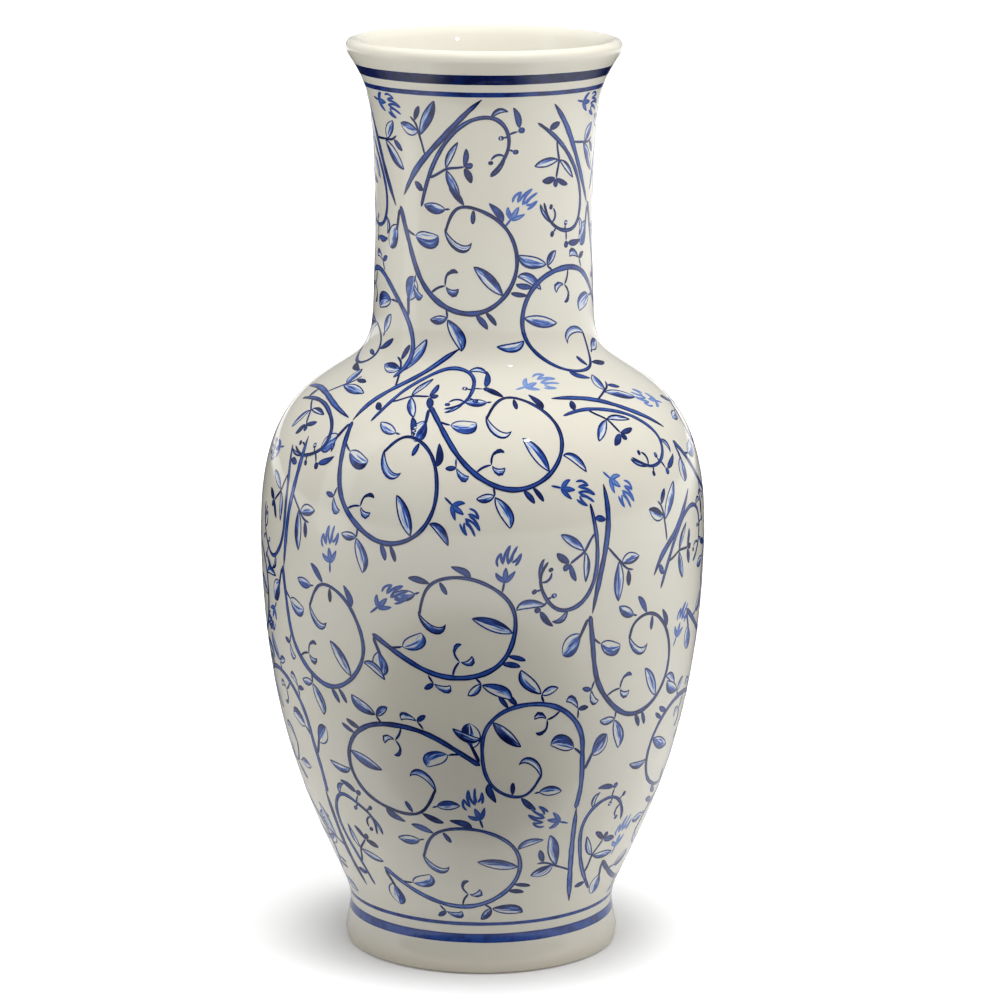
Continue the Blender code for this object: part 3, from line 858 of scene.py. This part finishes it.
def cobalt_load(tree):
    """How much cobalt lies at each place of a stroke: outline, wash, pale gaps and vein.

    reach holds the distances to a stroke's two edges and the share of the way along it; tone
    holds how much paint lies at the edge and in the wash, and how far the wash spreads.
    """
    place = add_node(tree, "ShaderNodeTexCoord").outputs["Object"]
    reach, tone = [add_node(tree, "ShaderNodeSeparateXYZ", {0: add_node(
        tree, "ShaderNodeAttribute", attribute_name=title).outputs["Vector"]}).outputs
        for title in ("reach", "tone")]
    to_thin, to_thick, along = reach
    edge_paint, wash_paint, spread = tone
    bristle = add_node(tree, NOISE, {
        "Vector": place, "Scale": per_metre(BRISTLE_SIZE), "Detail": 2.0})
    pool = add_node(tree, NOISE, {"Vector": place, "Scale": per_metre(POOL_SIZE), "Detail": 2.0})
    shake = add_node(tree, MATH, {0: bristle, 1: EDGE_WOBBLE, 2: -EDGE_WOBBLE / 2},
                     operation="MULTIPLY_ADD")
    thin = add_node(tree, MATH, {0: to_thin, 1: shake}, operation="ADD")
    thick = add_node(tree, MATH, {0: to_thick, 1: shake}, operation="ADD")
    both = add_node(tree, MATH, {0: to_thin, 1: to_thick}, operation="ADD")
    width = add_node(tree, MATH, {0: both, 1: 0.05}, operation="MAXIMUM")

    # outline, heavier on the full side of a leaf
    thin_line = add_node(tree, RANGE, {0: thin, 1: 0.95, 2: 0.35}, **SOFT)
    thick_line = add_node(tree, RANGE, {0: thick, 1: 1.25, 2: 0.55}, **SOFT)
    line = add_node(tree, MATH, {0: thin_line, 1: thick_line}, operation="MAXIMUM")
    line = add_node(tree, MATH, {0: line, 1: edge_paint}, operation="MULTIPLY")

    # wash from the full side, streaked by the brush's hairs, which run along the leaf
    depth = add_node(tree, MATH, {0: to_thick, 1: width}, operation="DIVIDE")
    hair_across = add_node(tree, MATH, {0: depth, 1: 7.0}, operation="MULTIPLY")
    hair_along = add_node(tree, MATH, {0: along, 1: 1.6}, operation="MULTIPLY")
    hair_place = add_node(tree, "ShaderNodeCombineXYZ", {0: hair_across, 1: hair_along})
    hair_place = add_node(tree, "ShaderNodeVectorMath", {
        0: place, 1: (per_metre(HAIR_DRIFT),) * 3, 2: hair_place}, operation="MULTIPLY_ADD")
    hair = add_node(tree, NOISE, {"Vector": hair_place, "Scale": 1.0, "Detail": 2.0})
    streak = add_node(tree, MATH, {0: hair, 1: 1.5, 2: -0.75}, operation="MULTIPLY_ADD")
    depth = add_node(tree, MATH, {0: depth, 1: streak}, operation="ADD")
    full = add_node(tree, MATH, {0: spread, 1: 0.28}, operation="SUBTRACT")
    empty = add_node(tree, MATH, {0: spread, 1: 0.22}, operation="ADD")
    wash = add_node(tree, RANGE, {0: depth, 1: empty, 2: full}, **SOFT)
    filled = add_node(tree, RANGE, {0: spread, 1: 0.8, 2: 0.95}, **SOFT)
    wash = add_node(tree, MATH, {0: wash, 1: filled}, operation="MAXIMUM")
    wash = add_node(tree, MATH, {0: wash, 1: wash_paint}, operation="MULTIPLY")
    watery = add_node(tree, RANGE, {0: pool, 1: 0.25, 2: 0.7, 3: 0.72, 4: 1.12}, **SOFT)
    even = add_node(tree, MATH, {0: filled, 1: 0.94}, operation="MULTIPLY")
    thinned = add_node(tree, MATH, {0: watery, 1: even}, operation="MAXIMUM")
    wash = add_node(tree, MATH, {0: wash, 1: thinned}, operation="MULTIPLY")

    # vein up the middle of a wide leaf, fading towards its tip
    middle = add_node(tree, MATH, {0: width, 1: 0.52}, operation="MULTIPLY")
    off_middle = add_node(tree, MATH, {0: to_thin, 1: middle}, operation="SUBTRACT")
    off_middle = add_node(tree, MATH, {0: off_middle}, operation="ABSOLUTE")
    vein = add_node(tree, RANGE, {0: off_middle, 1: 0.55, 2: 0.2, 4: 0.6}, **SOFT)
    open_leaf = add_node(tree, MATH, {0: 1.0, 1: filled}, operation="SUBTRACT")
    for share in (add_node(tree, RANGE, {0: width, 1: 3.2, 2: 5.0}, **SOFT),
                  add_node(tree, RANGE, {0: along, 1: 0.8, 2: 0.55}, **SOFT), open_leaf):
        vein = add_node(tree, MATH, {0: vein, 1: share}, operation="MULTIPLY")

    load = add_node(tree, MATH, {0: line, 1: wash}, operation="MAXIMUM")
    load = add_node(tree, MATH, {0: load, 1: vein}, operation="MAXIMUM")
    nearest = add_node(tree, MATH, {0: thin, 1: thick}, operation="MINIMUM")
    for share in (add_node(tree, RANGE, {0: nearest, 1: -0.1, 2: 0.22, 3: 0.45}, **SOFT),
                  add_node(tree, RANGE, {0: pool, 1: 0.2, 2: 0.8, 3: 0.96, 4: 1.04}, **SOFT)):
        load = add_node(tree, MATH, {0: load, 1: share}, operation="MULTIPLY")
    return load


def cobalt_material(glaze, paint):
    """Cobalt brushed on before firing and sunk into the glaze: washes, pooled edges, streaks."""
    material, tree, shader = new_material(
        "Cobalt brushwork in tin glaze", Roughness=glaze.roughness, IOR=GLAZE_IOR, Metallic=0.0)
    ground = glaze_surface(tree, shader, glaze)
    load = cobalt_load(tree)
    shades = add_node(tree, "ShaderNodeValToRGB", {"Fac": load})
    stops = shades.color_ramp.elements
    for spot, shade in ((0.0, FADED_BLUE), (0.28, paint.pale), (0.55, paint.middle),
                        (0.8, paint.dark), (1.0, paint.deep)):
        stop = stops[0] if spot == 0.0 else stops[-1] if spot == 1.0 else stops.new(spot)
        stop.color = colour(shade)
    cover = add_node(tree, RANGE, {0: load, 2: 0.16}, **SOFT)
    stain = add_node(tree, "ShaderNodeMix", {
        "Factor": cover, "A": ground, "B": shades.outputs["Color"]}, data_type="RGBA")
    tree.links.new(stain.outputs["Result"], shader.inputs["Base Color"])
    return material


# ---- operators ---------------------------------------------------------------------------------

def material_for(name, make, *settings):
    """One material of each kind, made the first time it is asked for."""
    found = [m for m in bpy.data.materials if m.get("vase_kind") == name]
    if found:
        return found[0]
    material = make(*settings)
    material["vase_kind"] = name
    return material


def cobalt(scene):
    return material_for("cobalt", cobalt_material, scene.vase_glaze, scene.vase_paint)


class VASE_OT_body(bpy.types.Operator):
    """Turn the glazed body and its bare foot ring"""
    bl_idname = "vase.body"
    bl_label = "Glazed body"

    def execute(self, context):
        glaze = context.scene.vase_glaze
        white = material_for("glaze", glaze_material, glaze)
        body = turned("glazed_body", glazed_profile(), glaze.around, white, "milky_glaze")
        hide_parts(BODY)
        turned("bare_foot_ring", bare_profile(), glaze.around,
               material_for("clay", clay_material, glaze), "bare_clay")
        return {"FINISHED"}


class VASE_OT_bands(bpy.types.Operator):
    """Paint the rings at the lip and the foot"""
    bl_idname = "vase.bands"
    bl_label = "Painted rings"

    def execute(self, context):
        for seed, (name, low, high, tone, waver) in enumerate(BANDS):
            paint_band(name, low, high, tone, waver, cobalt(context.scene), seed)
        return {"FINISHED"}


class VASE_OT_scrolls(bpy.types.Operator):
    """Paint the vine's ring scrolls and double scrolls"""
    bl_idname = "vase.scrolls"
    bl_label = "Vine scrolls"

    def execute(self, context):
        for seed, (name, (anchor, turns, way)) in enumerate(RING_SCROLLS.items()):
            for turn in turns:
                painting = Painting(1000 * seed + turn)
                paint_ring(painting, way, LONG_STEMS.get(name, 0.0))
                painting.piece(f"ring_scroll_{name}_{round(turn)}", cobalt(context.scene),
                               (anchor[0] + turn, anchor[1]))
        for seed, (name, (anchor, turns, way, outer)) in enumerate(DOUBLE_SCROLLS.items()):
            for turn in turns:
                painting = Painting(50000 + 1000 * seed + turn)
                paint_double(painting, way, outer)
                painting.piece(f"double_scroll_{name}_{round(turn)}", cobalt(context.scene),
                               (anchor[0] + turn, anchor[1]))
        return {"FINISHED"}


class VASE_OT_plumes(bpy.types.Operator):
    """Paint the feathery flowers between the scrolls"""
    bl_idname = "vase.plumes"
    bl_label = "Feathery flowers"

    def execute(self, context):
        for number, (angle, height, direction, strength, turns) in enumerate(PLUMES):
            for turn in turns:
                painting = Painting(90000 + 1000 * number + turn)
                paint_plume(painting, direction, strength)
                painting.piece(f"plume_{number + 1:02d}_{round(turn)}", cobalt(context.scene),
                               (angle + turn, height))
        return {"FINISHED"}


def aim_at(thing, place, target, roll=0.0):
    """Points a camera or a light at a target."""
    look = (Vector(target) - Vector(place)).to_track_quat("-Z", "Y").to_matrix().to_4x4()
    thing.matrix_world = (Matrix.Translation(place) @ look @ Matrix.Rotation(roll, 4, "Z"))


DARK_ROOM = 0.14        # brightness of the unlit room in front of the vase
LIT_WALL = 0.40         # brightness of the white wall behind it
WALL_TURN = 0.6         # how far round, as a sine, one passes into the other
FLOOR_SIZE = 30.0       # metres
# Painted glow of the paper, so that it stays white: near and far distance in metres from the vase,
# and strength at each
FLOOR_GLOW = (0.10, 1.3, 0.62, 1.35)
# Painted contact shadow that dims the glow near the foot: near and far distance in metres from the
# vase, and strength at each
FOOT_PAINTED_SHADOW = (0.055, 0.11, 0.30, 1.0)
FLAG_HEIGHT = 0.002     # metres above the floor
NEAR_EDGE_BLUR = 0.025  # metres
NO_NEAR_EDGE = 9.0      # metres, behind everything
# Name: place and target in metres, width, height, watts, shown in reflections
LIGHTS = {
    "side_left": ((-1.55, -0.25, 1.4), (0, -0.25, 1.4), 0.55, 3.2, 5, True),
    "side_right": ((1.5, -0.35, 0.9), (0, 0, 0.25), 1.2, 1.5, 4.8, False),
    "overhead": ((0.08, -0.2, 1.2), (0, 0, 0.0), 1.0, 1.0, 15, False),
    "lamp": ((0.52, -0.67, 1.6), (0, 0, 0.25), 0.07, 0.07, 0.6, True),
}
# Dark boards as painted shade, unseen by the camera. Name: middle and half size in metres, near
# edge, seen by diffuse light
FLAGS = {
    "flag_front": ((-0.02, -0.36), (0.42, 0.38), -0.10, True),
    "flag_behind": ((-0.5, 1.15), (2.3, 1.45), NO_NEAR_EDGE, False),
}


def soft_box(name, place, target, width, height, power, shown):
    """A rectangular studio light."""
    data = bpy.data.lights.new(name, "AREA")
    data.shape = "RECTANGLE"
    data.size, data.size_y = width, height
    data.energy = power
    light = bpy.data.objects.new(name, data)
    light.visible_glossy = shown
    bpy.context.scene.collection.objects.link(light)
    aim_at(light, place, target)


def soft_flag(name, middle, half_size, near_edge, dims_light):
    """A dark board that only the vase sees, as painted shade and a painted dark reflection: an oval
    on the floor, soft but for its near edge.
    """
    bpy.ops.mesh.primitive_circle_add(vertices=48, radius=1.0, fill_type="NGON")
    board = bpy.context.object
    board.name = name
    for vertex in board.data.vertices:
        vertex.co = (middle[0] + vertex.co.x * half_size[0], middle[1] + vertex.co.y * half_size[1],
                     FLAG_HEIGHT)
    material, tree, shader = new_material("Black felt", Roughness=1.0,
                                          Base_Color=(0.005, 0.005, 0.005, 1.0))
    place = add_node(tree, "ShaderNodeTexCoord").outputs["Object"]
    moved = add_node(tree, "ShaderNodeVectorMath", {0: place, 1: (*middle, FLAG_HEIGHT)},
                     operation="SUBTRACT")
    scaled = add_node(tree, "ShaderNodeVectorMath", {0: moved, 1: (*half_size, 1.0)},
                      operation="DIVIDE")
    out = add_node(tree, "ShaderNodeVectorMath", {0: scaled}, operation="LENGTH").outputs["Value"]
    oval = add_node(tree, RANGE, {0: out, 1: 1.0, 2: 0.45}, **SOFT)
    depth = add_node(tree, "ShaderNodeSeparateXYZ", {"Vector": place}).outputs["Y"]
    near = add_node(tree, RANGE, {0: depth, 1: near_edge, 2: near_edge - NEAR_EDGE_BLUR}, **SOFT)
    cover = add_node(tree, MATH, {0: oval, 1: near}, operation="MULTIPLY")
    tree.links.new(cover.outputs["Value"], shader.inputs["Alpha"])
    board.data.materials.append(material)
    board.visible_camera = board.visible_shadow = False
    board.visible_diffuse = dims_light


def lay_floor(paper_colour):
    """White paper that glows a little as painted light, so that it stays white; the glow is dimmed
    close to the foot as a painted contact shadow.
    """
    bpy.ops.mesh.primitive_plane_add(size=FLOOR_SIZE)
    floor = bpy.context.object
    floor.name = "studio_floor"
    paper, tree, shader = new_material(
        "Matt white paper", Roughness=1.0, Specular_IOR_Level=0.0, Base_Color=paper_colour,
        Emission_Color=paper_colour)
    ground = add_node(tree, "ShaderNodeTexCoord").outputs["Object"]
    away = add_node(tree, "ShaderNodeVectorMath", {0: ground}, operation="LENGTH").outputs["Value"]
    spread = add_node(tree, RANGE, {0: away, **dict(enumerate(FLOOR_GLOW, 1))})
    # painted contact shadow: less glow close to the foot
    shade = add_node(tree, RANGE, {0: away, **dict(enumerate(FOOT_PAINTED_SHADOW, 1))}, **SOFT)
    glow = add_node(tree, MATH, {0: spread, 1: shade}, operation="MULTIPLY")
    tree.links.new(glow.outputs["Value"], shader.inputs["Emission Strength"])
    floor.data.materials.append(paper)


def studio_world():
    """A room that is dark in front and light behind; the camera itself sees plain white."""
    world = bpy.data.worlds.new("Studio")
    world.use_nodes = True
    sky = world.node_tree
    way = add_node(sky, "ShaderNodeTexCoord").outputs["Generated"]
    depth = add_node(sky, "ShaderNodeSeparateXYZ", {"Vector": way}).outputs["Y"]
    room = add_node(sky, RANGE, {0: depth, 1: -WALL_TURN, 2: WALL_TURN, 3: DARK_ROOM,
                                 4: LIT_WALL}, **SOFT)
    seen = add_node(sky, "ShaderNodeLightPath").outputs["Is Camera Ray"]
    shown = add_node(sky, "ShaderNodeMix", {"Factor": seen, "A": room, "B": 1.0})
    back = sky.nodes["Background"]
    back.inputs["Color"].default_value = (1.0, 1.0, 1.0, 1.0)
    sky.links.new(shown.outputs["Result"], back.inputs["Strength"])
    return world


class VASE_OT_stage(bpy.types.Operator):
    """Set up the floor, the lights and the camera"""
    bl_idname = "vase.stage"
    bl_label = "Stage"

    def execute(self, context):
        scene, stage = context.scene, context.scene.vase_stage
        scene.view_settings.view_transform = "Standard"
        lay_floor(colour(stage.floor))
        scene.world = studio_world()
        for name, light in LIGHTS.items():
            soft_box(name, *light)
        for name, board in FLAGS.items():
            soft_flag(name, *board)
        data = bpy.data.cameras.new("studio_camera")
        data.lens = stage.lens
        data.sensor_width = 36.0
        camera = bpy.data.objects.new("studio_camera", data)
        scene.collection.objects.link(camera)
        aim_at(camera, (0.0, -stage.distance, stage.height), stage.aim, stage.roll)
        scene.camera = camera
        return {"FINISHED"}


class VASE_PT_panel(bpy.types.Panel):
    """Sizes, colours and steps of the vase"""
    bl_idname = "VASE_PT_panel"
    bl_label = "Vase"
    bl_space_type = "VIEW_3D"
    bl_region_type = "UI"
    bl_category = "Vase"

    def draw(self, context):
        layout, scene = self.layout, context.scene
        for group in ("vase_glaze", "vase_paint", "vase_stage"):
            box = layout.box()
            settings = getattr(scene, group)
            for name in settings.__annotations__:
                box.prop(settings, name)
        for operator in OPERATORS:
            layout.operator(operator.bl_idname)


OPERATORS = (VASE_OT_body, VASE_OT_bands, VASE_OT_scrolls, VASE_OT_plumes, VASE_OT_stage)
SETTINGS = {"vase_glaze": GlazeSettings, "vase_paint": PaintSettings, "vase_stage": StageSettings}


def register():
    for kind in (*SETTINGS.values(), *OPERATORS, VASE_PT_panel):
        bpy.utils.register_class(kind)
    for name, kind in SETTINGS.items():
        setattr(bpy.types.Scene, name, bpy.props.PointerProperty(type=kind))


def unregister():
    for name in SETTINGS:
        delattr(bpy.types.Scene, name)
    for kind in (VASE_PT_panel, *OPERATORS, *SETTINGS.values()):
        bpy.utils.unregister_class(kind)


def main():
    register()
    bpy.ops.vase.body()
    bpy.ops.vase.bands()
    bpy.ops.vase.scrolls()
    bpy.ops.vase.plumes()
    bpy.ops.vase.stage()


if __name__ == "__main__":
    main()
